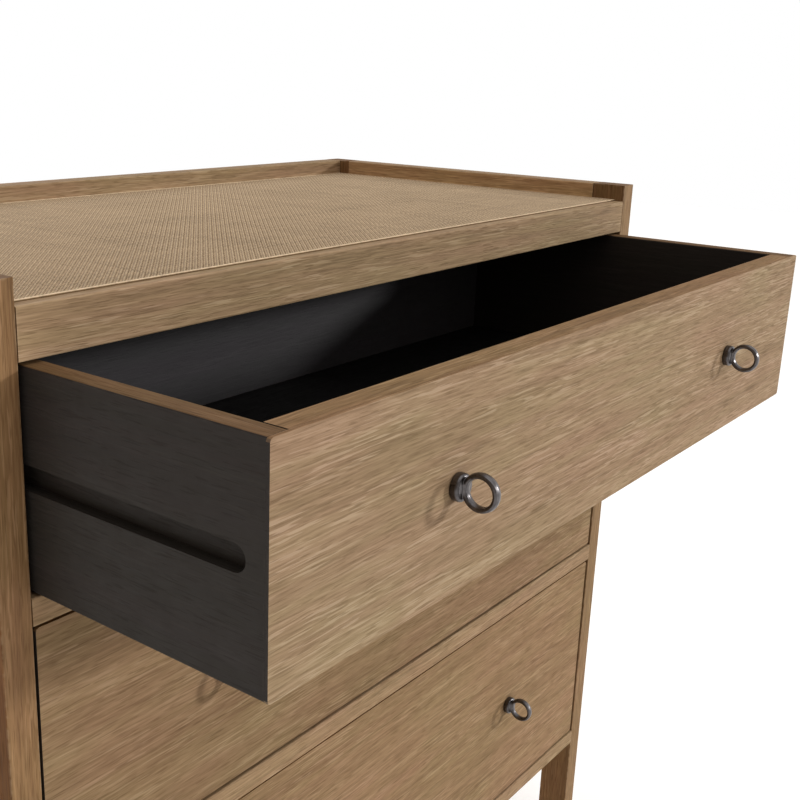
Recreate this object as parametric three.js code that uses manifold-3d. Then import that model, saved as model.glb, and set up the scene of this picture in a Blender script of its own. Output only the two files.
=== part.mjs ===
// Chest of three graduated drawers. Four corner posts run from the floor to a low gallery
// that stands round a woven inset top. Grooved drawer sides slide on wooden runners.
// Millimetres, +Z up, front towards -Y, floor at Z = 0. X = 0 is the middle of the width,
// and Y = 0 is halfway between the back and the ring pulls of the open top drawer.

import * as THREE from 'three';
import { mergeVertices } from 'three/addons/utils/BufferGeometryUtils.js';
import Module from 'manifold-3d';

const wasm = await Module();
wasm.setup();

// ---------------------------------------------------------------- driving dimensions

const overallWidth = 914;
const overallHeight = 930;
const caseDepth = 455;

const postWidth = 25;
const postDepth = 40;
const arris = 1.2; // soft edge along every show board

const galleryRise = 18.5; // gallery above the lip of the front top rail
const galleryRailHeight = 60;
const galleryRailThickness = 25;

const topRailHeight = 36;
const dividerHeight = 21;
const bottomRailHeight = 19;
const frontRailDepth = 25;
const dividerDepth = 45;
const lowerRailHeight = 44; // side and back rails level with the front bottom rail

const lipDepth = 10.5; // front rail left showing in front of the woven panel
const wovenThickness = 5.4;
const wovenProud = 1.5; // woven panel above the lip
const topBoardThickness = 16;
const backPanelThickness = 9;
const backPanelInset = 6;
const sidePanelThickness = 12;
const sidePanelInset = 4;
const dustPanelThickness = 6;
const dustPanelRise = 6;

const frontHeights = [157, 218.5, 251]; // top drawer first
const frontGap = 2.5; // above and below each drawer front
const frontSideGap = 3; // between a drawer front and the posts
const frontRecess = 1.5; // drawer fronts behind the rails' faces
const frontThickness = 21.5;
const faceThickness = 3; // the part of the front that covers the drawer sides' ends
const faceCornerRadius = 2.5;

const sideThickness = 17;
const sideInset = 1.2; // drawer side behind the end of the front
const boxRearClearance = 23.5; // shut drawer's rear to the back rails
const backThickness = 15;
const backDrop = 10; // drawer back below the sides' top edges
const bottomThickness = 6;
const bottomRise = 12;
const bottomGrooveDepth = 6;

const runnerGrooveHeight = 18;
const runnerGrooveDepth = 9;
const runnerGrooveLift = 3; // groove's middle above the side's middle
const runnerGrooveStop = 18; // face of the front to the groove's round end
const runnerPlay = 0.5; // running clearance above and below the runner
const runnerSidePlay = 1; // between the runner and the groove's floor

const pullOffset = 243.7; // ring pulls either side of the middle
const bossRadius = 10;
const bossLength = 6.5;
const bossEdgeRadius = 2;
const ringSeat = 1.8; // ring sunk into the boss's face
const ringOuterRadius = 13.8;
const ringBand = 4.3; // ring's outer edge to its inner edge
const ringThickness = 7;
const ringEdgeRadius = 1.2;

const screwRadius = 2;
const screwHeadRadius = 4;
const screwHeadHeight = 2.4;
const screwClearance = 0.3;
const bossFloor = 2; // metal left between the screw's bore and the boss's face

const glideRadius = 9;
const glideHeight = 5;

const topDrawerOpening = 209; // how far the top drawer stands open
const fit = 0.3; // gap left between pieces that are glued or screwed together

// ---------------------------------------------------------------- derived places

const halfWidth = overallWidth / 2;
const postInnerX = halfWidth - postWidth;
const lipZ = overallHeight - galleryRise;
const ringInnerRadius = ringOuterRadius - ringBand;
const ringCentreReach = fit + bossLength - ringSeat + ringOuterRadius; // ahead of the drawer's face
const screwEngagement = bossLength - bossFloor - screwClearance; // screw's tip inside the boss
const pullReach = ringCentreReach + ringOuterRadius;
const restReach = topDrawerOpening - frontRecess + pullReach;
const caseFrontY = (restReach - caseDepth) / 2;
const rearPostY = caseDepth - postDepth;
const backRailY = caseDepth - galleryRailThickness;
const boxDepth = backRailY - frontRecess - boxRearClearance; // drawer's face to its rear
const galleryBottomZ = overallHeight - galleryRailHeight;

const frontWidth = 2 * (postInnerX - frontSideGap);
const sideOuterX = frontWidth / 2 - sideInset;
const sideInnerX = sideOuterX - sideThickness;

// Heights of the drawer fronts' lower edges and of the rails' undersides, from the top down.
const frontBottoms = [];
const dividerBottoms = [];
let level = lipZ - topRailHeight;
for (const height of frontHeights) {
  frontBottoms.push(level - frontGap - height);
  level -= height + 2 * frontGap + dividerHeight;
  dividerBottoms.push(level);
}
const bottomRailTopZ = dividerBottoms.pop() + dividerHeight;
const bottomRailZ = bottomRailTopZ - bottomRailHeight;

// ---------------------------------------------------------------- materials

const finishes = {
  oak: { color: 0xa08464, roughness: 0.62, metalness: 0 },
  oakDark: { color: 0x7c5a38, roughness: 0.65, metalness: 0 },
  blackStain: { color: 0x35312e, roughness: 0.6, metalness: 0 },
  woven: { color: 0xac967a, roughness: 0.85, metalness: 0 },
  plywood: { color: 0x9c8260, roughness: 0.75, metalness: 0 },
  gunmetal: { color: 0x3c3634, roughness: 0.32, metalness: 0.9 },
  zinc: { color: 0x9a9a98, roughness: 0.4, metalness: 0.9 },
  nylon: { color: 0x2a2927, roughness: 0.55, metalness: 0 },
};

function addMesh(parent, name, geometry, finish, position = [0, 0, 0]) {
  const mesh = new THREE.Mesh(geometry, new THREE.MeshStandardMaterial(finishes[finish]));
  mesh.name = name;
  mesh.position.set(...position);
  parent.add(mesh);
  return mesh;
}

// ---------------------------------------------------------------- solids and booleans

function toSolid(geometry) {
  const bare = geometry.clone();
  bare.deleteAttribute('normal');
  bare.deleteAttribute('uv');
  const welded = mergeVertices(bare);
  const corners = welded.index.array;
  const kept = [];
  for (let i = 0; i < corners.length; i += 3) {
    const [a, b, c] = [corners[i], corners[i + 1], corners[i + 2]];
    if (a !== b && b !== c && c !== a) {
      kept.push(a, b, c);
    }
  }
  return new wasm.Manifold(new wasm.Mesh({
    numProp: 3,
    vertProperties: welded.attributes.position.array,
    triVerts: new Uint32Array(kept),
  }));
}

function toGeometry(solid) {
  const mesh = solid.getMesh();
  const geometry = new THREE.BufferGeometry();
  geometry.setAttribute('position', new THREE.BufferAttribute(mesh.vertProperties, 3));
  geometry.setIndex(new THREE.BufferAttribute(mesh.triVerts, 1));
  geometry.computeVertexNormals();
  return geometry;
}

function join(first, second) {
  return toGeometry(toSolid(first).add(toSolid(second)));
}

function cut(body, cutters) {
  let solid = toSolid(body);
  for (const cutter of cutters) {
    solid = solid.subtract(toSolid(cutter));
  }
  return toGeometry(solid);
}

// ---------------------------------------------------------------- boards

function roundedRectangle(width, height, radius) {
  const [w, h] = [width / 2, height / 2];
  const shape = new THREE.Shape();
  shape.moveTo(-w + radius, -h);
  shape.lineTo(w - radius, -h);
  shape.absarc(w - radius, -h + radius, radius, -Math.PI / 2, 0);
  shape.lineTo(w, h - radius);
  shape.absarc(w - radius, h - radius, radius, 0, Math.PI / 2);
  shape.lineTo(-w + radius, h);
  shape.absarc(-w + radius, h - radius, radius, Math.PI / 2, Math.PI);
  shape.lineTo(-w, -h + radius);
  shape.absarc(-w + radius, -h + radius, radius, Math.PI, 1.5 * Math.PI);
  return shape;
}

// Local axes of an extrusion (shape's x, shape's y, extrusion) turned so that it runs along the
// named axis. Each is a cyclic change of axes, so the solid isn't mirrored.
const X = new THREE.Vector3(1, 0, 0);
const Y = new THREE.Vector3(0, 1, 0);
const Z = new THREE.Vector3(0, 0, 1);
const runsAlong = {
  x: new THREE.Matrix4().makeBasis(Y, Z, X),
  y: new THREE.Matrix4().makeBasis(Z, X, Y),
  z: new THREE.Matrix4(),
};

// A centred bar of the given shape, with its middle at the origin.
function bar(shape, length, axis, curveSegments = 1) {
  const options = { depth: length, bevelEnabled: false, curveSegments };
  const geometry = new THREE.ExtrudeGeometry(shape, options);
  geometry.translate(0, 0, -length / 2);
  geometry.applyMatrix4(runsAlong[axis]);
  return geometry;
}

// A board that fills the box from low to high, with its long edges softened along its grain.
function addBoard(parent, name, low, high, grain, finish, edge = arris) {
  const [w, d, h] = [high[0] - low[0], high[1] - low[1], high[2] - low[2]];
  const sections = { x: [d, h, w], y: [h, w, d], z: [w, d, h] };
  const [across, up, length] = sections[grain];
  const shape = roundedRectangle(across, up, edge);
  const middle = low.map((value, i) => (value + high[i]) / 2);
  return addMesh(parent, name, bar(shape, length, grain), finish, middle);
}

// A plain sheet that fills the box from low to high.
function boxBetween(low, high) {
  const size = high.map((value, i) => value - low[i]);
  const geometry = new THREE.BoxGeometry(...size);
  geometry.translate(...low.map((value, i) => (value + high[i]) / 2));
  return geometry;
}

function addSheet(parent, name, low, high, finish) {
  return addMesh(parent, name, boxBetween(low, high), finish);
}

// ---------------------------------------------------------------- case

const chest = new THREE.Group();
const carcass = new THREE.Group();
carcass.position.y = caseFrontY;
chest.add(carcass);

const sides = [['left', -1], ['right', 1]];

// The low and high ends of a span on one side of the chest, inner to outer, in rising order.
function span(sign, inner, outer) {
  return sign > 0 ? [inner, outer] : [-outer, -inner];
}

function addPostsAndGlides() {
  const profile = new THREE.Path();
  profile.moveTo(0, 0);
  profile.lineTo(glideRadius - 1, 0);
  profile.absarc(glideRadius - 1, 1, 1, -Math.PI / 2, 0);
  profile.lineTo(glideRadius, glideHeight);
  profile.lineTo(0, glideHeight);
  for (const [side, sign] of sides) {
    const [x0, x1] = span(sign, postInnerX, halfWidth);
    for (const [end, y0] of [['front', 0], ['rear', rearPostY]]) {
      const low = [x0, y0, glideHeight + fit];
      const high = [x1, y0 + postDepth, overallHeight];
      addBoard(carcass, `${end}_${side}_post`, low, high, 'z', 'oak');
      const glide = new THREE.LatheGeometry(profile.getPoints(1), 16);
      glide.rotateX(Math.PI / 2);
      const foot = [(x0 + x1) / 2, y0 + postDepth / 2, 0];
      addMesh(carcass, `${end}_${side}_glide`, glide, 'nylon', foot);
    }
  }
}

function addSides() {
  const y0 = postDepth + fit;
  const y1 = rearPostY - fit;
  const panelOuter = halfWidth - sidePanelInset;
  for (const [side, sign] of sides) {
    const [x0, x1] = span(sign, postInnerX, halfWidth);
    const top = [[x0, y0, galleryBottomZ], [x1, y1, overallHeight]];
    addBoard(carcass, `${side}_gallery_rail`, ...top, 'y', 'oak');
    const foot = [[x0, y0, bottomRailZ], [x1, y1, bottomRailZ + lowerRailHeight]];
    addBoard(carcass, `${side}_lower_rail`, ...foot, 'y', 'oak');
    const [p0, p1] = span(sign, panelOuter - sidePanelThickness, panelOuter);
    const low = [p0, y0, bottomRailZ + lowerRailHeight + fit];
    const high = [p1, y1, galleryBottomZ - fit];
    addSheet(carcass, `${side}_side_panel`, low, high, 'oak');
  }
}

function addBack() {
  const x = postInnerX - fit;
  const top = [[-x, backRailY, galleryBottomZ], [x, caseDepth, overallHeight]];
  addBoard(carcass, 'back_gallery_rail', ...top, 'x', 'oak');
  const lowerTop = bottomRailZ + lowerRailHeight;
  const foot = [[-x, backRailY, bottomRailZ], [x, caseDepth, lowerTop]];
  addBoard(carcass, 'back_lower_rail', ...foot, 'x', 'oak');
  const panelRear = caseDepth - backPanelInset;
  const low = [-x, panelRear - backPanelThickness, lowerTop + fit];
  const high = [x, panelRear, galleryBottomZ - fit];
  addSheet(carcass, 'back_panel', low, high, 'plywood');
}

// The front top rail is rebated behind its lip, so that the woven panel lies over the step.
function addTop() {
  const x = postInnerX - fit;
  const wovenBottomZ = lipZ + wovenProud - wovenThickness;
  const stepZ = wovenBottomZ - fit;
  const rail = new THREE.Shape();
  rail.moveTo(arris, lipZ - topRailHeight);
  rail.lineTo(frontRailDepth, lipZ - topRailHeight);
  rail.lineTo(frontRailDepth, stepZ);
  rail.lineTo(lipDepth, stepZ);
  rail.lineTo(lipDepth, lipZ);
  rail.lineTo(arris, lipZ);
  rail.absarc(arris, lipZ - arris, arris, Math.PI / 2, Math.PI);
  rail.lineTo(0, lipZ - topRailHeight + arris);
  rail.absarc(arris, lipZ - topRailHeight + arris, arris, Math.PI, 1.5 * Math.PI);
  addMesh(carcass, 'front_top_rail', bar(rail, 2 * x, 'x'), 'oak');

  const boardFront = frontRailDepth + fit;
  const back = backRailY - fit;
  const boardLow = [-x, boardFront, stepZ - topBoardThickness];
  addSheet(carcass, 'top_board', boardLow, [x, back, stepZ], 'plywood');
  const wovenLow = [-x, lipDepth + fit, wovenBottomZ];
  const wovenHigh = [x, back, lipZ + wovenProud];
  addSheet(carcass, 'woven_top_panel', wovenLow, wovenHigh, 'woven');
}

function addFrontRails() {
  const x = postInnerX - fit;
  const names = ['upper_divider_rail', 'lower_divider_rail'];
  dividerBottoms.forEach((z, i) => {
    const high = [x, dividerDepth, z + dividerHeight];
    addBoard(carcass, names[i], [-x, 0, z], high, 'x', 'oak');
  });
  const high = [x, frontRailDepth, bottomRailTopZ];
  addBoard(carcass, 'front_bottom_rail', [-x, 0, bottomRailZ], high, 'x', 'oak');
  const dustLow = [-x, frontRailDepth + fit, bottomRailZ + dustPanelRise];
  const dustHigh = [x, backRailY - fit, bottomRailZ + dustPanelRise + dustPanelThickness];
  addSheet(carcass, 'dust_panel', dustLow, dustHigh, 'plywood');
}

// A runner is screwed to the posts' inner faces. Its round front end meets the groove's end
// when the drawer is shut.
function addRunners() {
  const outer = postInnerX - fit;
  const inner = sideOuterX - runnerGrooveDepth + runnerSidePlay;
  const height = runnerGrooveHeight - 2 * runnerPlay;
  const front = frontRecess + runnerGrooveStop + runnerPlay;
  const length = backRailY - fit - front;
  const shape = new THREE.Shape();
  const noseRadius = height / 2;
  shape.moveTo(noseRadius, -noseRadius);
  shape.lineTo(length, -noseRadius);
  shape.lineTo(length, noseRadius);
  shape.lineTo(noseRadius, noseRadius);
  shape.absarc(noseRadius, 0, noseRadius, Math.PI / 2, 1.5 * Math.PI);
  frontHeights.forEach((frontHeight, i) => {
    const middle = frontBottoms[i] + frontHeight / 2 + runnerGrooveLift;
    for (const [side, sign] of sides) {
      const geometry = bar(shape, outer - inner, 'x', 4);
      const place = [sign * (inner + outer) / 2, front, middle];
      addMesh(carcass, `drawer_${i + 1}_${side}_runner`, geometry, 'oakDark', place);
    }
  });
}

// ---------------------------------------------------------------- drawers

// A drawer's own origin is the middle of the lower edge of its face.

function drawerFront(height) {
  const half = sideInnerX - fit;
  const face = bar(roundedRectangle(height, frontWidth, faceCornerRadius), faceThickness, 'y');
  face.translate(0, faceThickness / 2, height / 2);
  const core = boxBetween([-half, faceThickness / 2, 0], [half, frontThickness, height]);
  const slotTop = bottomRise + bottomThickness + fit;
  const slotFront = frontThickness - bottomGrooveDepth;
  const slotLow = [-half - fit, slotFront, bottomRise - fit];
  const slot = boxBetween(slotLow, [half + fit, frontThickness + fit, slotTop]);
  const holes = sides.map(([, sign]) => {
    const radius = screwRadius + screwClearance;
    const hole = new THREE.CylinderGeometry(radius, radius, 3 * frontThickness, 12);
    hole.translate(sign * pullOffset, 0, height / 2);
    return hole;
  });
  return cut(join(face, core), [slot, ...holes]);
}

function drawerSide(sign, height) {
  const front = faceThickness + fit;
  const board = bar(roundedRectangle(height, sideThickness, arris), boxDepth - front, 'y');
  const middleX = sign * (sideInnerX + sideOuterX) / 2;
  board.translate(middleX, (front + boxDepth) / 2, height / 2);

  const radius = runnerGrooveHeight / 2;
  const groove = new THREE.Shape();
  groove.moveTo(runnerGrooveStop + radius, -radius);
  groove.lineTo(boxDepth + fit, -radius);
  groove.lineTo(boxDepth + fit, radius);
  groove.lineTo(runnerGrooveStop + radius, radius);
  groove.absarc(runnerGrooveStop + radius, 0, radius, Math.PI / 2, 1.5 * Math.PI);
  const grooveCutter = bar(groove, 2 * runnerGrooveDepth, 'x', 5);
  grooveCutter.translate(sign * sideOuterX, 0, height / 2 + runnerGrooveLift);

  const slot = boxBetween(
    [sideInnerX - bottomGrooveDepth, front - fit, bottomRise - fit],
    [sideInnerX + bottomGrooveDepth, boxDepth + fit, bottomRise + bottomThickness + fit],
  );
  slot.translate(sign > 0 ? 0 : -2 * sideInnerX, 0, 0);
  return cut(board, [grooveCutter, slot]);
}

// The ring and its boss are one casting. The ring stands in the upright plane that runs
// straight out from the drawer's face.
function ringPull() {
  const boss = new THREE.Path();
  const boreRadius = screwRadius + screwClearance;
  const boreEnd = -fit - screwEngagement - screwClearance;
  const faceY = -fit - bossLength;
  boss.moveTo(0, faceY);
  boss.lineTo(bossRadius - bossEdgeRadius, faceY);
  boss.absarc(bossRadius - bossEdgeRadius, faceY + bossEdgeRadius, bossEdgeRadius, -Math.PI / 2, 0);
  boss.lineTo(bossRadius, -fit);
  boss.lineTo(boreRadius, -fit);
  boss.lineTo(boreRadius, boreEnd);
  boss.lineTo(0, boreEnd);
  const bossSolid = new THREE.LatheGeometry(boss.getPoints(1), 20);

  const width = ringOuterRadius - ringInnerRadius;
  const section = roundedRectangle(width, ringThickness, ringEdgeRadius);
  const outline = section.getPoints(1).map((point) => {
    return new THREE.Vector2(point.x + (ringOuterRadius + ringInnerRadius) / 2, point.y);
  });
  outline.push(outline[0].clone());
  const ring = new THREE.LatheGeometry(outline, 24);
  ring.rotateZ(Math.PI / 2);
  ring.translate(0, -ringCentreReach, 0);
  return join(bossSolid, ring);
}

function pullScrew() {
  const path = new THREE.Path();
  const tip = -fit - screwEngagement;
  const seat = frontThickness + fit;
  path.moveTo(0, tip);
  path.lineTo(screwRadius, tip);
  path.lineTo(screwRadius, seat);
  path.lineTo(screwHeadRadius, seat);
  path.lineTo(screwHeadRadius, seat + screwHeadHeight / 2);
  path.lineTo(screwHeadRadius * 0.75, seat + screwHeadHeight);
  path.lineTo(0, seat + screwHeadHeight);
  return new THREE.LatheGeometry(path.getPoints(1), 12);
}

function addDrawer(number, height, bottomZ, opening) {
  const drawer = new THREE.Group();
  drawer.position.set(0, caseFrontY + frontRecess - opening, bottomZ);
  chest.add(drawer);
  const name = `drawer_${number}`;
  addMesh(drawer, `${name}_front`, drawerFront(height), 'oak');
  for (const [side, sign] of sides) {
    addMesh(drawer, `${name}_${side}_side`, drawerSide(sign, height), 'blackStain');
    const place = [sign * pullOffset, 0, height / 2];
    addMesh(drawer, `${name}_${side}_pull`, ringPull(), 'gunmetal', place);
    addMesh(drawer, `${name}_${side}_pull_screw`, pullScrew(), 'zinc', place);
  }
  const half = sideInnerX - fit;
  const backLow = [-half, boxDepth - backThickness, bottomRise + bottomThickness + fit];
  const backHigh = [half, boxDepth, height - backDrop];
  addBoard(drawer, `${name}_back`, backLow, backHigh, 'x', 'blackStain');
  const reach = sideInnerX + bottomGrooveDepth - fit;
  const panelFront = frontThickness - bottomGrooveDepth + fit;
  const panelLow = [-reach, panelFront, bottomRise];
  const panelHigh = [reach, boxDepth, bottomRise + bottomThickness];
  addSheet(drawer, `${name}_bottom`, panelLow, panelHigh, 'blackStain');
}

// ---------------------------------------------------------------- assembly

addPostsAndGlides();
addSides();
addBack();
addTop();
addFrontRails();
addRunners();
frontHeights.forEach((height, i) => {
  addDrawer(i + 1, height, frontBottoms[i], i === 0 ? topDrawerOpening : 0);
});

export default chest;
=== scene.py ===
"""Chest of three drawers: finishes, woven top and ring pulls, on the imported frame."""
import math
import random

import bmesh
import bpy
from mathutils import Matrix, Vector


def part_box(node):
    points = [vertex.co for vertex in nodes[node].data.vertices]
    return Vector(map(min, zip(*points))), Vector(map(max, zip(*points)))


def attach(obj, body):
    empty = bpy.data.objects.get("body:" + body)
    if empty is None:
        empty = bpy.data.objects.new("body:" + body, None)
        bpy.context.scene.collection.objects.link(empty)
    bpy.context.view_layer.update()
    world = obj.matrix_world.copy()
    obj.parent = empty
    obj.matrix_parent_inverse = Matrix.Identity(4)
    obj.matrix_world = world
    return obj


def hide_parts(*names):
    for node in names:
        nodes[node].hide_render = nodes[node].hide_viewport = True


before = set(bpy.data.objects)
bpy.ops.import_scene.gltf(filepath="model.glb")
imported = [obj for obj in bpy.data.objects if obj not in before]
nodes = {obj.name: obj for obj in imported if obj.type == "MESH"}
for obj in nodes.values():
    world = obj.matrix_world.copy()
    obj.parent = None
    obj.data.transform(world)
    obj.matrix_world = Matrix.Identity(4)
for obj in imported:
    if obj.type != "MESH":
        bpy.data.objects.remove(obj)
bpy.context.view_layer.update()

MM = 0.001
scene = bpy.context.scene
chance = random.Random(11)

# ---------------------------------------------------------------- camera

# the middle of the case's front, at the height of the lip in front of the woven top
LIP = Vector((0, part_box("front_left_post")[0].y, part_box("front_top_rail")[1].z))
CAMERA_PLACE = LIP + Vector((-0.8415, -0.574, 0.1465))
CAMERA_AZIMUTH = math.radians(-51.511)
CAMERA_ELEVATION = math.radians(16.452)
CAMERA_ROLL = math.radians(1.443)
CAMERA_LENS = 50.67
CAMERA_SHIFT = (0.088, -0.002)


def add_camera():
    back = Vector((
        math.sin(CAMERA_AZIMUTH) * math.cos(CAMERA_ELEVATION),
        -math.cos(CAMERA_AZIMUTH) * math.cos(CAMERA_ELEVATION),
        math.sin(CAMERA_ELEVATION),
    ))
    level = (-back).cross(Vector((0, 0, 1))).normalized()
    upright = level.cross(-back)
    right = math.cos(CAMERA_ROLL) * level + math.sin(CAMERA_ROLL) * upright
    up = math.cos(CAMERA_ROLL) * upright - math.sin(CAMERA_ROLL) * level
    data = bpy.data.cameras.new("camera")
    data.lens = CAMERA_LENS
    data.sensor_width = 36
    data.shift_x, data.shift_y = CAMERA_SHIFT
    data.clip_start = 0.01
    camera = bpy.data.objects.new("camera", data)
    turn = Matrix((right, up, back)).transposed().to_4x4()
    camera.matrix_world = Matrix.Translation(CAMERA_PLACE) @ turn
    scene.collection.objects.link(camera)
    scene.camera = camera


# ---------------------------------------------------------------- node trees

class Graph:
    """One material's node tree, with a short call for each kind of node."""

    def __init__(self, name):
        self.material = bpy.data.materials.new(name)
        self.material.use_nodes = True
        self.tree = self.material.node_tree
        self.tree.nodes.clear()
        self.shader = self.node("ShaderNodeBsdfPrincipled")
        output = self.node("ShaderNodeOutputMaterial")
        self.tree.links.new(self.shader.outputs[0], output.inputs["Surface"])
        self.coords = self.node("ShaderNodeTexCoord")
        self.place = self.coords.outputs["Object"]

    def node(self, kind, **settings):
        """A new node of that kind, with its settings."""
        made = self.tree.nodes.new(kind)
        for key, value in settings.items():
            setattr(made, key, value)
        return made

    def feed(self, socket, value):
        """Links a socket's value, or sets a constant directly."""
        if isinstance(value, bpy.types.NodeSocket):
            self.tree.links.new(value, socket)
        else:
            socket.default_value = value

    def math(self, operation, a, b=0.0):
        made = self.node("ShaderNodeMath", operation=operation)
        self.feed(made.inputs[0], a)
        self.feed(made.inputs[1], b)
        return made.outputs[0]

    def vector(self, operation, a, b=(0, 0, 0)):
        made = self.node("ShaderNodeVectorMath", operation=operation)
        self.feed(made.inputs[0], a)
        self.feed(made.inputs[1], b)
        return made.outputs[0]

    def split(self, vector):
        made = self.node("ShaderNodeSeparateXYZ")
        self.feed(made.inputs[0], vector)
        return made.outputs

    def combine(self, x, y, z):
        made = self.node("ShaderNodeCombineXYZ")
        for socket, value in zip(made.inputs, (x, y, z)):
            self.feed(socket, value)
        return made.outputs[0]

    def noise(self, vector, scale, detail=2.0, roughness=0.5):
        made = self.node("ShaderNodeTexNoise")
        self.feed(made.inputs["Vector"], self.vector("MULTIPLY", vector, scale))
        made.inputs["Scale"].default_value = 1.0
        made.inputs["Detail"].default_value = detail
        made.inputs["Roughness"].default_value = roughness
        return made.outputs[0]

    def step(self, value, low, high, start=0.0, end=1.0):
        """A smooth step from start at low to end at high."""
        made = self.node("ShaderNodeMapRange", interpolation_type="SMOOTHSTEP")
        for socket, given in zip(made.inputs, (value, low, high, start, end)):
            self.feed(socket, given)
        return made.outputs[0]

    def total(self, start, *terms):
        """start plus weight x (value - 0.5) for each (weight, value)."""
        result = start
        for weight, value in terms:
            made = self.node("ShaderNodeMath", operation="MULTIPLY_ADD")
            self.feed(made.inputs[0], self.math("SUBTRACT", value, 0.5))
            self.feed(made.inputs[1], weight)
            self.feed(made.inputs[2], result)
            result = made.outputs[0]
        return result

    def mix(self, factor, a, b, blend="MIX"):
        made = self.node("ShaderNodeMix", data_type="RGBA", blend_type=blend)
        self.feed(made.inputs[0], factor)
        self.feed(made.inputs[6], a if not isinstance(a, tuple) else (*a, 1))
        self.feed(made.inputs[7], b if not isinstance(b, tuple) else (*b, 1))
        return made.outputs[2]

    def ramp(self, factor, stops):
        made = self.node("ShaderNodeValToRGB")
        elements = made.color_ramp.elements
        while len(elements) < len(stops):
            elements.new(0.5)
        for element, (position, colour) in zip(elements, stops):
            element.position = position
            element.color = (*colour, 1)
        self.feed(made.inputs[0], factor)
        return made.outputs[0]

    def finish(self, colour, roughness, height, depth, strength):
        """Colour, roughness and a relief of the given depth in metres, on the shader."""
        bump = self.node("ShaderNodeBump")
        bump.inputs["Strength"].default_value = strength
        bump.inputs["Distance"].default_value = depth
        self.feed(bump.inputs["Height"], height)
        self.feed(self.shader.inputs["Base Color"], colour)
        self.feed(self.shader.inputs["Roughness"], roughness)
        self.feed(self.shader.inputs["Normal"], bump.outputs[0])
        return self.material


# ---------------------------------------------------------------- finishes

OAK = (
    (0.10, (0.135, 0.082, 0.040)),
    (0.38, (0.232, 0.150, 0.079)),
    (0.58, (0.287, 0.190, 0.103)),
    (0.90, (0.390, 0.275, 0.165)),
)
RUNNER_OAK = (
    (0.12, (0.17, 0.095, 0.045)),
    (0.40, (0.27, 0.160, 0.080)),
    (0.62, (0.34, 0.210, 0.110)),
    (0.90, (0.42, 0.275, 0.155)),
)
PLYWOOD = (
    (0.15, (0.27, 0.175, 0.095)),
    (0.42, (0.33, 0.222, 0.125)),
    (0.60, (0.38, 0.262, 0.152)),
    (0.90, (0.45, 0.325, 0.200)),
)
STAIN = (
    (0.15, (0.0180, 0.0155, 0.0138)),
    (0.50, (0.0285, 0.0240, 0.0208)),
    (0.90, (0.0440, 0.0375, 0.0330)),
)
# paler stain of the drawer backs: painted light, for the light that falls into the open drawer onto
# its back wall
PAINTED_LIGHT_STAIN = (
    (0.15, (0.0345, 0.0322, 0.0337)),
    (0.50, (0.0497, 0.0462, 0.0486)),
    (0.90, (0.0713, 0.0664, 0.0691)),
)
# darker stain of the drawer bottoms: painted shade, for the shade inside the drawer
PAINTED_SHADE_STAIN = (
    (0.15, (0.0085, 0.0078, 0.0076)),
    (0.50, (0.0140, 0.0128, 0.0124)),
    (0.90, (0.0230, 0.0210, 0.0200)),
)
END_GRAIN = (0.66, 0.59, 0.54)
TOP_EDGE = (0.51, 0.455, 0.40)
FRONT_TOP_EDGE = (0.87, 0.77, 0.64)
# painted shade, multiplied into the faces across the case
SHADED_SIDE = (0.70, 0.54, 0.40)
SCUFFED_BLACK = (0.075, 0.062, 0.052)
WOOD_SPECULAR = 0.05
SATIN_SPECULAR = 0.14
STAIN_CONTRAST = 0.42
CAST_STRENGTH = 0.42
SWAY = 16 * MM
SHIVER = 1.1 * MM
RUBBED_EDGE = 2.2 * MM
SCUFFED_EDGE = 3 * MM
OAK_RELIEF = 0.22 * MM
STAIN_RELIEF = 0.16 * MM
CANE_RELIEF = 0.12 * MM
METAL_RELIEF = 0.03 * MM
ZINC_RELIEF = 0.05 * MM
NYLON_RELIEF = 0.06 * MM


def along_grain(g, axis):
    """Place in the piece, in metres, turned so that X runs along the grain."""
    x, y, z = g.split(g.place)
    turned = {"x": (x, y, z), "y": (y, x, z), "z": (z, x, y)}[axis]
    start = tuple(chance.uniform(2, 40) for _ in range(3))
    return g.vector("ADD", g.combine(*turned), start)


def edge_nearness(g, box, reach):
    """1 on an edge of the board, falling to 0 at reach from it."""
    low, high = box
    middle, half = (low + high) / 2, (high - low) / 2
    offset = g.vector("ABSOLUTE", g.vector("SUBTRACT", g.place, tuple(middle)))
    x, y, z = g.split(g.vector("SUBTRACT", tuple(half), offset))
    nearest = g.math("MINIMUM", x, g.math("MINIMUM", y, z))
    furthest = g.math("MAXIMUM", x, g.math("MAXIMUM", y, z))
    every = g.math("ADD", x, g.math("ADD", y, z))
    second = g.math("SUBTRACT", g.math("SUBTRACT", every, nearest), furthest)
    return g.step(second, 0.0, reach, 1.0, 0.0)


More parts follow.
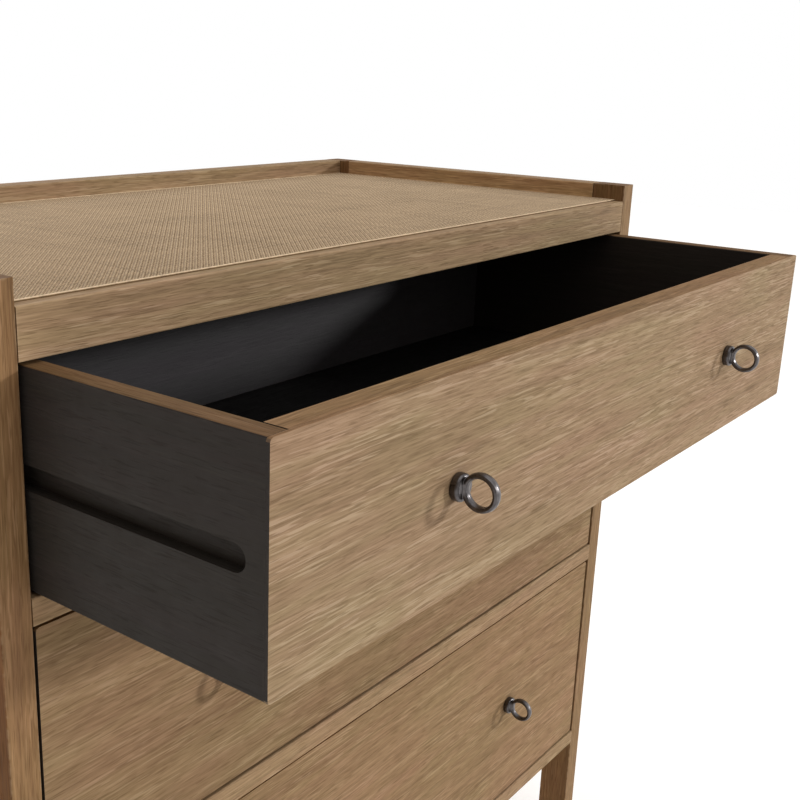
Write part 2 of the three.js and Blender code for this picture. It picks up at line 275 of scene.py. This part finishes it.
def grain(g, axis, palette, contrast=1.0):
    """Colour, roughness and height of a sawn and brushed board."""
    place = along_grain(g, axis)
    drift = g.noise(place, (1.3, 6, 6), detail=1.0)
    sway = g.math("MULTIPLY", drift, SWAY)
    place = g.vector("ADD", place, g.combine(0.0, sway, sway))
    shiver = g.math("MULTIPLY", g.noise(place, (12, 34, 34), detail=1.0), SHIVER)
    place = g.vector("ADD", place, g.combine(0.0, shiver, shiver))
    bands = g.noise(place, (1.1, 44, 44), detail=3.0, roughness=0.6)
    fibres = g.noise(place, (6, 440, 440), detail=2.0, roughness=0.6)
    streaks = g.noise(place, (36, 720, 720), detail=2.0, roughness=0.6)
    groups = g.step(g.noise(place, (6, 70, 70), detail=1.0), 0.38, 0.60)
    flecks = g.step(g.noise(place, (28, 560, 560), detail=1.0), 0.55, 0.62)
    flecks = g.math("MULTIPLY", flecks, groups)
    pores = g.step(g.noise(place, (50, 860, 860), detail=1.0), 0.57, 0.67)
    tone = g.total(
        0.48,
        (0.64 * contrast, bands),
        (0.62 * contrast, fibres),
        (0.82 * contrast, streaks),
    )
    colour = g.ramp(tone, palette)
    light, dark = palette[-1][1], palette[0][1]
    colour = g.mix(g.math("MULTIPLY", flecks, 0.62 * contrast), colour, light)
    colour = g.mix(g.math("MULTIPLY", pores, 0.46 * contrast), colour, dark)
    hue = g.noise(place, (2.5, 75, 75), detail=2.0)
    hue = g.ramp(hue, ((0.38, (1.03, 0.955, 0.985)), (0.62, (0.975, 1.015, 0.93))))
    colour = g.mix(0.40, colour, hue, blend="MULTIPLY")
    roughness = g.total(0.70, (0.25, fibres), (0.20, streaks))
    roughness = g.math("ADD", roughness, g.math("MULTIPLY", pores, 0.12))
    height = g.total(0.5, (0.9, fibres), (0.8, streaks))
    height = g.math("SUBTRACT", height, g.math("MULTIPLY", pores, 0.6))
    return colour, roughness, height


def cast(g, colour):
    """Slow changes of hue over a board, from rosy to olive."""
    slow = g.noise(g.vector("ADD", g.place, (3.1, 7.7, 5.3)), (9, 9, 9), detail=2.0)
    tint = g.ramp(slow, ((0.35, (1.04, 0.965, 0.985)), (0.65, (0.965, 1.02, 0.94))))
    return g.mix(CAST_STRENGTH, colour, tint, blend="MULTIPLY")


def facing(g, axis, low, high):
    """1 where the surface faces along the axis, either way."""
    along = g.split(g.coords.outputs["Normal"])["xyz".index(axis)]
    return g.step(g.math("ABSOLUTE", along), low, high)


def inner_face(g, box):
    """1 on the face that looks across the case to its middle, where painted light goes."""
    toward = -1.0 if box[0].x > 0 else 1.0
    across = g.split(g.coords.outputs["Normal"])[0]
    return g.step(g.math("MULTIPLY", across, toward), 0.4, 0.9)


def oak(name, axis, box, palette=OAK, side_shade=0.45, stain=(1, 1, 1)):
    """Brushed oak. Faces across the case get painted shade, end grain is darker, rubbed edges are
    paler; some boards get painted light on their face to the middle of the case.
    """
    g = Graph(name)
    colour, roughness, height = grain(g, axis, palette)
    colour = g.mix(1.0, cast(g, colour), stain, blend="MULTIPLY")
    sideways = g.math("MULTIPLY", facing(g, "x", 0.4, 0.9), side_shade)
    # painted light on the face to the middle of the case, which then gets no painted shade
    if name in PAINTED_LIGHT_INSIDE:
        inner = inner_face(g, box)
        colour = g.mix(inner, colour, PAINTED_LIGHT_INSIDE[name], blend="MULTIPLY")
        sideways = g.math("MULTIPLY", sideways, g.math("SUBTRACT", 1.0, inner))
    # painted shade on the faces across the case
    colour = g.mix(sideways, colour, SHADED_SIDE, blend="MULTIPLY")
    colour = g.mix(facing(g, axis, 0.7, 0.9), colour, END_GRAIN, blend="MULTIPLY")
    wear = g.noise(g.place, (120, 120, 120), detail=2.0)
    rubbed = g.math("MULTIPLY", edge_nearness(g, box, RUBBED_EDGE), g.step(wear, 0.4, 0.6))
    colour = g.mix(g.math("MULTIPLY", rubbed, 0.35), colour, palette[-1][1])
    g.shader.inputs["Specular IOR Level"].default_value = SATIN_SPECULAR
    return g.finish(colour, roughness, height, OAK_RELIEF, 0.6)


def stained(name, axis, box, bare, palette=STAIN, tint=(1, 1, 1), top_tint=TOP_EDGE):
    """Black stain, with the wood left bare where bare(graph) says so."""
    g = Graph(name)
    dark, dark_rough, dark_height = grain(g, axis, palette, STAIN_CONTRAST)
    wood, wood_rough, _ = grain(g, axis, OAK)
    wood = g.mix(1.0, cast(g, wood), tint, blend="MULTIPLY")
    wood = g.mix(facing(g, "z", 0.5, 0.8), wood, top_tint, blend="MULTIPLY")
    scuffs = g.noise(g.place, (60, 60, 60), detail=3.0, roughness=0.7)
    rub = g.math("MULTIPLY", edge_nearness(g, box, SCUFFED_EDGE), g.step(scuffs, 0.45, 0.65))
    dark = g.mix(g.math("MULTIPLY", rub, 0.35), dark, SCUFFED_BLACK)
    shown = bare(g)
    colour = g.mix(shown, dark, wood)
    satin = g.math("SUBTRACT", g.total(dark_rough, (0.3, scuffs)), 0.16)
    blend = g.node("ShaderNodeMix", data_type="FLOAT")
    g.feed(blend.inputs[0], shown)
    g.feed(blend.inputs[2], satin)
    g.feed(blend.inputs[3], wood_rough)
    duller = g.math("MULTIPLY", shown, SATIN_SPECULAR - WOOD_SPECULAR)
    sheen = g.math("SUBTRACT", SATIN_SPECULAR, duller)
    g.feed(g.shader.inputs["Specular IOR Level"], sheen)
    return g.finish(colour, blend.outputs[0], dark_height, STAIN_RELIEF, 0.5)


def top_face(box):
    """Bare on the board's top face."""
    def bare(g):
        upward = g.step(g.split(g.coords.outputs["Normal"])[2], 0.5, 0.8)
        high = g.step(g.split(g.place)[2], box[1].z - 4 * MM, box[1].z - 3 * MM)
        return g.math("MULTIPLY", upward, high)
    return bare


def show_faces(box):
    """Bare on the front's face and top. Its ends and the face inside are stained."""
    def bare(g):
        inward = g.split(g.coords.outputs["Normal"])[1]
        deep = g.step(g.split(g.place)[1], box[0].y + 3 * MM, box[0].y + 3.4 * MM)
        inner = g.math("MULTIPLY", g.step(inward, 0.3, 0.6), deep)
        return g.math("SUBTRACT", 1.0, g.math("MAXIMUM", inner, facing(g, "x", 0.88, 0.97)))
    return bare


def woven(name, axis, tint):
    """Split cane, with painted shade in the hollows between the strands."""
    g = Graph(name)
    place = along_grain(g, axis)
    fibres = g.noise(place, (60, 1500, 1500), detail=2.0, roughness=0.6)
    strand = g.noise(place, (6, 190, 190), detail=1.0)
    patch = g.noise(g.place, (14, 14, 14), detail=2.0)
    tone = g.total(0.5, (0.9, fibres), (0.9, strand), (0.25, patch))
    colour = g.ramp(tone, (
        (0.15, tuple(0.66 * c for c in tint)),
        (0.50, tint),
        (0.88, tuple(1.24 * c for c in tint)),
    ))
    height = g.split(g.place)[2]
    # painted shade: darker where the strand lies low between the others
    depth = g.step(height, WEAVE_MIDDLE - 0.1 * MM, WEAVE_MIDDLE + 0.9 * MM)
    shaded_hollows = g.mix(1.0, colour, HOLLOW_SHADE_TINT, blend="MULTIPLY")
    colour = g.mix(depth, shaded_hollows, colour)
    roughness = g.total(0.72, (0.3, fibres))
    g.shader.inputs["Specular IOR Level"].default_value = 0.12
    return g.finish(colour, roughness, fibres, CANE_RELIEF, 0.6)


def gunmetal(name):
    """Dark cast metal, rubbed lighter in clouds."""
    g = Graph(name)
    cloud = g.noise(g.place, (90, 90, 90), detail=3.0, roughness=0.6)
    brushed = g.noise(g.place, (1500, 260, 260), detail=2.0)
    tone = g.total(0.5, (1.2, cloud), (0.5, brushed))
    colour = g.ramp(tone, (
        (0.2, (0.064, 0.060, 0.061)),
        (0.5, (0.112, 0.104, 0.105)),
        (0.8, (0.178, 0.166, 0.166)),
    ))
    roughness = g.total(0.33, (0.30, cloud), (0.18, brushed))
    g.shader.inputs["Metallic"].default_value = 1.0
    return g.finish(colour, roughness, brushed, METAL_RELIEF, 0.35)


def zinc(name):
    """Bright plating of the screws."""
    g = Graph(name)
    cloud = g.noise(g.place, (220, 220, 220), detail=3.0, roughness=0.6)
    colour = g.ramp(cloud, (
        (0.3, (0.42, 0.43, 0.44)),
        (0.5, (0.58, 0.59, 0.59)),
        (0.7, (0.70, 0.69, 0.66)),
    ))
    roughness = g.total(0.34, (0.4, cloud))
    g.shader.inputs["Metallic"].default_value = 1.0
    return g.finish(colour, roughness, cloud, ZINC_RELIEF, 0.3)


def nylon(name):
    """Black moulded nylon of the floor glides."""
    g = Graph(name)
    pebble = g.noise(g.place, (900, 900, 900), detail=2.0)
    cloud = g.noise(g.place, (70, 70, 70), detail=2.0)
    colour = g.ramp(cloud, ((0.3, (0.014, 0.014, 0.015)), (0.7, (0.030, 0.030, 0.031))))
    roughness = g.total(0.5, (0.3, pebble), (0.2, cloud))
    return g.finish(colour, roughness, pebble, NYLON_RELIEF, 0.5)


# ---------------------------------------------------------------- boards from the frame

GRAIN = {
    "post": "z", "gallery_rail": "y", "back_gallery_rail": "x", "lower_rail": "y",
    "back_lower_rail": "x", "side_panel": "z", "back_panel": "z", "top_board": "x",
    "dust_panel": "x", "front_top_rail": "x", "divider_rail": "x", "bottom_rail": "x",
    "runner": "y", "front": "x", "side": "y", "back": "x", "bottom": "x",
}

# each drawer front is its own board, a little different from the others
FRONT_TINTS = {
    "drawer_1_front": (1.01, 1.06, 1.18),
    "drawer_2_front": (0.87, 0.86, 0.865),
    "drawer_3_front": (0.955, 0.925, 0.93),
}

# how much painted shade the faces across the case get, and the board's own stain
PLAIN_STAIN = (0.45, (1.03, 1.02, 1.02))
OAK_STAINS = {
    "front_left_post": (1.0, (0.90, 0.775, 0.66)),
    "front_right_post": (0.45, (0.86, 0.79, 0.70)),
    "rear_left_post": (0.45, (0.90, 0.81, 0.70)),
    "rear_right_post": (0.45, (0.90, 0.81, 0.70)),
    "front_top_rail": (0.45, (1.13, 1.155, 1.20)),
}

# boards whose face to the middle of the case is paler: painted light on that face
PAINTED_LIGHT_INSIDE = {
    "left_gallery_rail": (1.45, 1.40, 1.34),
    "right_gallery_rail": (1.62, 1.58, 1.52),
}


def grain_axis(name):
    """The way the grain runs. The longest key of GRAIN that ends the node's name decides."""
    keys = [key for key in GRAIN if name.endswith(key)]
    return GRAIN[max(keys, key=len)]


WORN_EDGE = 1.3 * MM
CRISP_EDGE = 0.7 * MM
GLIDE_EDGE = 0.8 * MM


def soften(piece, width, segments=2):
    """Rounds a board's sharp edges with modifiers, so that its own mesh stays as it is."""
    piece.data.polygons.foreach_set("use_smooth", [True] * len(piece.data.polygons))
    flat = piece.modifiers.new("flat faces", "DECIMATE")
    flat.decimate_type = "DISSOLVE"
    flat.angle_limit = math.radians(1)
    round_edges = piece.modifiers.new("soft edges", "BEVEL")
    round_edges.width = width
    round_edges.segments = segments
    round_edges.limit_method = "ANGLE"
    round_edges.angle_limit = math.radians(28)
    shading = piece.modifiers.new("even shading", "WEIGHTED_NORMAL")
    shading.keep_sharp = False


def finish_boards():
    for name, piece in sorted(nodes.items()):
        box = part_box(name)
        if name.endswith("glide"):
            soften(piece, GLIDE_EDGE, 3)
            material = nylon(name)
        elif name.endswith(("pull", "pull_screw")) or name == "woven_top_panel":
            continue
        else:
            soften(piece, WORN_EDGE if name.endswith(("_front", "post")) else CRISP_EDGE)
            axis = grain_axis(name)
            if name in FRONT_TINTS:
                material = stained(
                    name, axis, box, show_faces(box),
                    tint=FRONT_TINTS[name], top_tint=FRONT_TOP_EDGE,
                )
            elif name.startswith("drawer") and name.endswith("_back"):
                # painted light: the back gets the paler stain
                material = stained(name, axis, box, top_face(box), PAINTED_LIGHT_STAIN)
            elif name.startswith("drawer") and name.endswith("_side"):
                material = stained(name, axis, box, top_face(box))
            elif name.startswith("drawer") and name.endswith("_bottom"):
                # painted shade: the bottom gets the darker stain
                material = stained(name, axis, box, lambda g: 0.0, PAINTED_SHADE_STAIN)
            elif name.endswith("runner"):
                material = oak(name, axis, box, RUNNER_OAK)
            elif name in ("top_board", "back_panel", "dust_panel"):
                material = oak(name, axis, box, PLYWOOD, side_shade=0.0)
            else:
                shade, stain = OAK_STAINS.get(name, PLAIN_STAIN)
                material = oak(name, axis, box, side_shade=shade, stain=stain)
        piece.data.materials.clear()
        piece.data.materials.append(material)


# ---------------------------------------------------------------- built meshes

def placed(mesh, name):
    """The built mesh as an object in the scene."""
    data = bpy.data.meshes.new(name)
    mesh.to_mesh(data)
    mesh.free()
    piece = bpy.data.objects.new(name, data)
    scene.collection.objects.link(piece)
    return piece


def baked(piece, name):
    """The piece's shape with its modifiers applied, as a mesh of its own."""
    shape = piece.evaluated_get(bpy.context.evaluated_depsgraph_get())
    data = bpy.data.meshes.new_from_object(shape)
    data.name = name
    bpy.data.objects.remove(piece)
    return data


# ---------------------------------------------------------------- woven top

WEAVE_LOW, WEAVE_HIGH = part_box("woven_top_panel")
SEAM = Vector((0.3 * MM, 0.3 * MM, 0))
STRAND_PITCH = 2.9 * MM
STRAND_WIDTH = 0.91  # of the pitch
STRAND_THICKNESS = 0.9 * MM
STRAND_RISE = 0.52 * MM
STRAND_LEAN = 0.06 * MM
STRAND_WANDER = 0.06  # of the pitch
STRAND_PINCH = 0.10  # of the width, where a strand passes under
STRAND_CROWN = ((-1, -0.45), (0, 0.38), (1, -0.45))  # side, lift as a share of the thickness
WEAVE_MIDDLE = WEAVE_HIGH.z - 0.8 * MM
WARP_TINT = (0.666, 0.511, 0.340)
# painted shade: the weft is tinted darker than the warp, for the checker of light and shade at the
# crossings
SHADED_WEFT_TINT = (0.566, 0.424, 0.274)
# painted shade for the cane low in the hollows between the strands
HOLLOW_SHADE_TINT = (0.22, 0.17, 0.12)
WARP_COUNT = 2 * round((WEAVE_HIGH.x - WEAVE_LOW.x) / STRAND_PITCH / 2)
WEFT_COUNT = 2 * round((WEAVE_HIGH.y - WEAVE_LOW.y) / STRAND_PITCH / 2)


def strand_mesh(name, along, strands, crossings, pitch, low, high, over_first):
    """Crowned strands side by side, each passing over and under the strands it crosses."""
    across = 1 - along
    span = high[along] - low[along]
    half = pitch * STRAND_WIDTH / 2
    steps = crossings * 2
    mesh = bmesh.new()
    for strand in strands:
        wander = chance.uniform(-STRAND_WANDER, STRAND_WANDER)
        centre = low[across] + pitch * (strand + 0.5 + wander)
        sign = 1 if (strand + over_first) % 2 else -1
        lean = chance.uniform(-STRAND_LEAN, STRAND_LEAN)
        rows = []
        for step in range(steps + 1):
            s = step / steps
            phase = math.pi * (s * crossings - 0.5)
            rise = sign * STRAND_RISE * math.cos(phase)
            pinch = 1 - STRAND_PINCH * (0.5 - 0.5 * sign * math.cos(phase))
            ring = []
            for side, lift in STRAND_CROWN:
                point = [0.0, 0.0, 0.0]
                point[along] = low[along] + span * s
                point[across] = centre + half * side * pinch
                point[2] = WEAVE_MIDDLE + rise + lift * STRAND_THICKNESS + lean * side
                point[across] = min(max(point[across], low[across]), high[across])
                ring.append(mesh.verts.new(point))
            rows.append(ring)
        for a, b in zip(rows, rows[1:]):
            for k in range(2):
                mesh.faces.new((a[k], b[k], b[k + 1], a[k + 1]))
    bmesh.ops.recalc_face_normals(mesh, faces=mesh.faces)
    for face in mesh.faces:
        face.smooth = True
    piece = placed(mesh, name)
    if piece.data.polygons[0].normal.z < 0:  # a strip's faces have no outside of their own
        piece.data.flip_normals()
    return piece


def rounded_board(name, low, high, radius):
    """A board between two corners, with all its edges rounded."""
    mesh = bmesh.new()
    bmesh.ops.create_cube(mesh, size=1)
    size = high - low
    for vertex in mesh.verts:
        vertex.co = Vector((
            (low.x + high.x) / 2 + vertex.co.x * size.x,
            (low.y + high.y) / 2 + vertex.co.y * size.y,
            (low.z + high.z) / 2 + vertex.co.z * size.z,
        ))
    bmesh.ops.bevel(
        mesh, geom=list(mesh.edges), offset=radius, segments=3, profile=0.5, affect="EDGES",
    )
    return placed(mesh, name)


def edge_cane():
    """A flat cane laid round the panel, over the ends of the strands."""
    width, top = 2.2 * MM, WEAVE_HIGH.z + 0.1 * MM
    under = WEAVE_MIDDLE - 0.6 * MM
    low, high = WEAVE_LOW - SEAM, WEAVE_HIGH + SEAM
    section = (
        (0, under), (0, top - 0.3 * MM), (0.5 * MM, top), (width - 0.6 * MM, top), (width, under),
    )
    mesh = bmesh.new()
    rings = []
    for inset, z in section:
        corners = (
            (low.x + inset, low.y + inset), (high.x - inset, low.y + inset),
            (high.x - inset, high.y - inset), (low.x + inset, high.y - inset),
        )
        rings.append([mesh.verts.new((x, y, z)) for x, y in corners])
    for a, b in zip(rings, rings[1:] + rings[:1]):
        for k in range(4):
            n = (k + 1) % 4
            mesh.faces.new((a[k], a[n], b[n], b[k]))
    bmesh.ops.recalc_face_normals(mesh, faces=mesh.faces)
    return placed(mesh, "woven_edging")


def add_woven_top():
    """Warp and weft in two halves each, over a backing board and under an edging cane."""
    low, high = WEAVE_LOW - SEAM, WEAVE_HIGH + SEAM
    warp_cane = woven("woven_warp", "y", WARP_TINT)
    weft_cane = woven("woven_weft", "x", SHADED_WEFT_TINT)
    pieces = []
    for along, name, count, crossings, cane in (
        (1, "woven_warp", WARP_COUNT, WEFT_COUNT, warp_cane),
        (0, "woven_weft", WEFT_COUNT, WARP_COUNT, weft_cane),
    ):
        pitch = (high[1 - along] - low[1 - along]) / count
        for part in (0, 1):
            strands = range(part * count // 2, (part + 1) * count // 2)
            piece = strand_mesh(
                f"{name}_{part + 1}", along, strands, crossings, pitch, low, high, 1 - along,
            )
            piece.data.materials.append(cane)
            pieces.append(piece)
    backing_high = WEAVE_HIGH.copy()
    backing_high.z = WEAVE_MIDDLE - 0.7 * MM
    backing = rounded_board("woven_backing", WEAVE_LOW, backing_high, 0.6 * MM)
    backing_box = (WEAVE_LOW, backing_high)
    backing.data.materials.append(
        oak("woven_backing", "x", backing_box, RUNNER_OAK, side_shade=0.0)
    )
    edging = edge_cane()
    edging.data.materials.append(warp_cane)
    for piece in (*pieces, backing, edging):
        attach(piece, "case")
        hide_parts("woven_top_panel")


# ---------------------------------------------------------------- ring pulls

BOSS_LENGTH = 6.5 * MM
BOSS_EDGE = 2.6 * MM
BOSS_RIM = 2.2 * MM
BOSS_CHAMFER = 0.4 * MM
RING_BAND = 4.3 * MM
RING_DEPTH = 7 * MM
RING_ROUNDING = 0.7 * MM
RING_DOME = 0.45 * MM
CASTING_GRAIN = 0.36 * MM
SCREW_RADIUS = 2 * MM
THREAD_PITCH = 0.7 * MM
HEAD_HEIGHT = 2.4 * MM
HEAD_RIM = 0.5 * MM
RECESS_DEPTH = 1.5 * MM
RECESS_WIDTH = 0.9 * MM


def lathe(mesh, profile, turns):
    """Turns (radius, forward) points round the forward axis, which is -Y."""
    rings = []
    for radius, forward in profile:
        if radius == 0:
            rings.append([mesh.verts.new((0, -forward, 0))])
            continue
        ring = []
        for k in range(turns):
            angle = 2 * math.pi * k / turns
            ring.append(mesh.verts.new(
                (radius * math.cos(angle), -forward, radius * math.sin(angle))
            ))
        rings.append(ring)
    for a, b in zip(rings, rings[1:]):
        for k in range(turns):
            n = (k + 1) % turns
            corners = [a[k % len(a)], a[n % len(a)], b[n % len(b)], b[k % len(b)]]
            unique = list(dict.fromkeys(corners))
            mesh.faces.new(unique)


def arc(centre, radius, start, end, count):
    """Points on an arc between two angles, in degrees."""
    points = []
    for k in range(count + 1):
        angle = math.radians(start + (end - start) * k / count)
        points.append((
            centre[0] + radius * math.cos(angle),
            centre[1] + radius * math.sin(angle),
        ))
    return points


def pull_mesh(low, high):
    """A round boss and a ring in one casting, sized by its box in the frame."""
    boss = (high.x - low.x) / 2
    ring_outer = (high.z - low.z) / 2
    reach = high.y - low.y - ring_outer
    mesh = bmesh.new()
    profile = [(0, 0), (boss - BOSS_CHAMFER, 0), (boss, BOSS_CHAMFER), (boss, BOSS_RIM)]
    profile += arc((boss - BOSS_EDGE, BOSS_LENGTH - BOSS_EDGE), BOSS_EDGE, 0, 80, 8)
    profile += [(boss * 0.45, BOSS_LENGTH + 0.2 * MM), (0, BOSS_LENGTH + 0.3 * MM)]
    lathe(mesh, profile, 72)
    middle = ring_outer - RING_BAND / 2
    half_band, half_depth = RING_BAND / 2, RING_DEPTH / 2
    inward = RING_ROUNDING + RING_DOME
    section = []
    for sx, sy, start in ((1, 1, 0), (-1, 1, 90), (-1, -1, 180), (1, -1, 270)):
        centre = (sx * (half_band - inward), sy * (half_depth - inward))
        section += arc(centre, RING_ROUNDING, start, start + 90, 5)
        crown = math.radians(start + 90)
        section.append((half_band * round(math.cos(crown)), half_depth * round(math.sin(crown))))
    turns = 96
    rows = []
    for k in range(turns):
        angle = 2 * math.pi * k / turns
        row = []
        for radial, sideways in section:
            r = middle + radial
            row.append(mesh.verts.new(
                (sideways, -reach + r * math.cos(angle), r * math.sin(angle))
            ))
        rows.append(row)
    for k in range(turns):
        a, b = rows[k], rows[(k + 1) % turns]
        for j in range(len(section)):
            n = (j + 1) % len(section)
            mesh.faces.new((a[j], a[n], b[n], b[j]))
    bmesh.ops.recalc_face_normals(mesh, faces=mesh.faces)
    piece = placed(mesh, "pull shells")
    fused = piece.modifiers.new("one casting", "REMESH")
    fused.mode = "VOXEL"
    fused.voxel_size = CASTING_GRAIN
    relax = piece.modifiers.new("cast surface", "SMOOTH")
    relax.factor = 0.5
    relax.iterations = 4
    data = baked(piece, "ring pull")
    data.polygons.foreach_set("use_smooth", [True] * len(data.polygons))
    return data


def screw_mesh(length, head_radius):
    """A pan head screw with a cross recess. It points along -Y from its seat at 0."""
    mesh = bmesh.new()
    radius = SCREW_RADIUS
    profile = [(0, length), (radius * 0.75, length), (radius, length - 0.5 * MM)]
    turns = int((length - 1.2 * MM) / THREAD_PITCH)
    for k in range(turns):
        top = length - 0.6 * MM - k * THREAD_PITCH
        profile += [(radius, top), (radius * 0.82, top - THREAD_PITCH / 2)]
    profile += [(radius * 0.9, 0.1 * MM), (head_radius, 0), (head_radius, -HEAD_RIM)]
    for share in (0.25, 0.5, 0.75, 0.9, 1.0):
        angle = share * math.pi / 2
        profile.append((
            head_radius * math.cos(angle) if share < 1 else 0,
            -HEAD_RIM - (HEAD_HEIGHT - HEAD_RIM) * math.sin(angle),
        ))
    lathe(mesh, profile, 32)
    bmesh.ops.recalc_face_normals(mesh, faces=mesh.faces)
    piece = placed(mesh, "screw blank")
    cutter = bmesh.new()
    for turn in (0, 90):
        made = bmesh.ops.create_cube(cutter, size=1)["verts"]
        spin = Matrix.Rotation(math.radians(turn), 4, "Y")
        for vertex in made:
            deep = vertex.co.y < 0
            vertex.co.x *= head_radius * (0.5 if deep else 1.1)
            vertex.co.z *= RECESS_WIDTH * (0.6 if deep else 1.0)
            vertex.co.y = HEAD_HEIGHT + (-RECESS_DEPTH if deep else 1 * MM)
            vertex.co = spin @ vertex.co
    tool = placed(cutter, "cross")
    recess = piece.modifiers.new("cross recess", "BOOLEAN")
    recess.object = tool
    recess.operation = "DIFFERENCE"
    recess.use_self = True
    data = baked(piece, "pull screw")
    bpy.data.objects.remove(tool)
    return data


def add_pulls():
    """One casting and one screw, shared by the six pulls."""
    metal = gunmetal("gunmetal")
    plated = zinc("zinc")
    pull = pull_mesh(*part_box("drawer_2_left_pull"))
    pull.materials.clear()
    pull.materials.append(metal)
    low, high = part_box("drawer_2_left_pull_screw")
    head = (high.x - low.x) / 2
    screw = screw_mesh(high.y - low.y - HEAD_HEIGHT, head)
    screw.materials.clear()
    screw.materials.append(plated)
    for number in (1, 2, 3):
        body = f"drawer_{number}"
        for side in ("left", "right"):
            for part, data, slot, lift in (
                ("pull", pull, "gunmetal", 0.0),
                ("pull_screw", screw, "zinc", -HEAD_HEIGHT),
            ):
                node = f"{body}_{side}_{part}"
                low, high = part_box(node)
                piece = bpy.data.objects.new(f"{node}_detail", data)
                scene.collection.objects.link(piece)
                piece.location = ((low.x + high.x) / 2, high.y + lift, (low.z + high.z) / 2)
                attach(piece, body)
                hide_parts(node)


# ---------------------------------------------------------------- studio

LEFT_GLOW = (0.345, 0.285, 0.235)
RIGHT_GLOW = (0.80, 0.79, 0.78)
FLOOR_RADIUS = 9
FLOOR_RELIEF = 0.2 * MM
FLOOR_GLOW = 0.16


def add_area(name, place, aim, size, power):
    data = bpy.data.lights.new(name, "AREA")
    data.shape = "SQUARE"
    data.size = size
    data.energy = power
    lamp = bpy.data.objects.new(name, data)
    lamp.location = place
    lamp.rotation_euler = (Vector(aim) - Vector(place)).to_track_quat("-Z", "Y").to_euler()
    scene.collection.objects.link(lamp)


def add_sun(name, toward, energy, degrees):
    data = bpy.data.lights.new(name, "SUN")
    data.energy = energy
    data.angle = math.radians(degrees)
    lamp = bpy.data.objects.new(name, data)
    lamp.rotation_euler = Vector(toward).to_track_quat("-Z", "Y").to_euler()
    scene.collection.objects.link(lamp)


def add_studio():
    """A white room: pale floor, a glow that is stronger from the right, two suns and a back light."""
    mesh = bmesh.new()
    bmesh.ops.create_circle(mesh, cap_ends=True, radius=FLOOR_RADIUS, segments=96)
    floor = placed(mesh, "floor")
    g = Graph("floor")
    slow = g.noise(g.place, (1.4, 1.4, 1.4), detail=2.0)
    fine = g.noise(g.place, (300, 300, 300), detail=2.0)
    colour = g.ramp(slow, ((0.3, (0.90, 0.90, 0.90)), (0.7, (0.93, 0.93, 0.93))))
    g.shader.inputs["Emission Color"].default_value = (1, 1, 1, 1)
    g.shader.inputs["Emission Strength"].default_value = FLOOR_GLOW
    roughness = g.total(0.7, (0.2, fine))
    floor.data.materials.append(g.finish(colour, roughness, fine, FLOOR_RELIEF, 0.2))
    world = bpy.data.worlds.new("studio")
    world.use_nodes = True
    tree = world.node_tree
    tree.nodes.clear()
    output = tree.nodes.new("ShaderNodeOutputWorld")
    choose = tree.nodes.new("ShaderNodeMixShader")
    path = tree.nodes.new("ShaderNodeLightPath")
    fill = tree.nodes.new("ShaderNodeBackground")
    direction = tree.nodes.new("ShaderNodeTexCoord")
    axes = tree.nodes.new("ShaderNodeSeparateXYZ")
    across = tree.nodes.new("ShaderNodeMapRange")
    across.inputs["From Min"].default_value = -0.9
    across.inputs["From Max"].default_value = 0.3
    shade = tree.nodes.new("ShaderNodeMix")
    shade.data_type = "RGBA"
    shade.inputs[6].default_value = (*LEFT_GLOW, 1)
    shade.inputs[7].default_value = (*RIGHT_GLOW, 1)
    tree.links.new(direction.outputs["Generated"], axes.inputs[0])
    tree.links.new(axes.outputs[0], across.inputs[0])
    tree.links.new(across.outputs[0], shade.inputs[0])
    tree.links.new(shade.outputs[2], fill.inputs[0])
    seen = tree.nodes.new("ShaderNodeBackground")
    seen.inputs[0].default_value = (1, 1, 1, 1)
    seen.inputs[1].default_value = 1.0
    tree.links.new(path.outputs["Is Camera Ray"], choose.inputs[0])
    tree.links.new(fill.outputs[0], choose.inputs[1])
    tree.links.new(seen.outputs[0], choose.inputs[2])
    tree.links.new(choose.outputs[0], output.inputs["Surface"])
    scene.world = world
    add_sun("key", (-0.70, 0.66, -0.235), 1.8, 6)
    add_sun("overhead", (0.0, 0.35, -1), 0.65, 60)
    add_area("back", (0.6, 3.2, 2.4), (0, 0, 0.6), 2.4, 30)
    scene.view_settings.view_transform = "Standard"


add_camera()
add_studio()
finish_boards()
add_woven_top()
add_pulls()
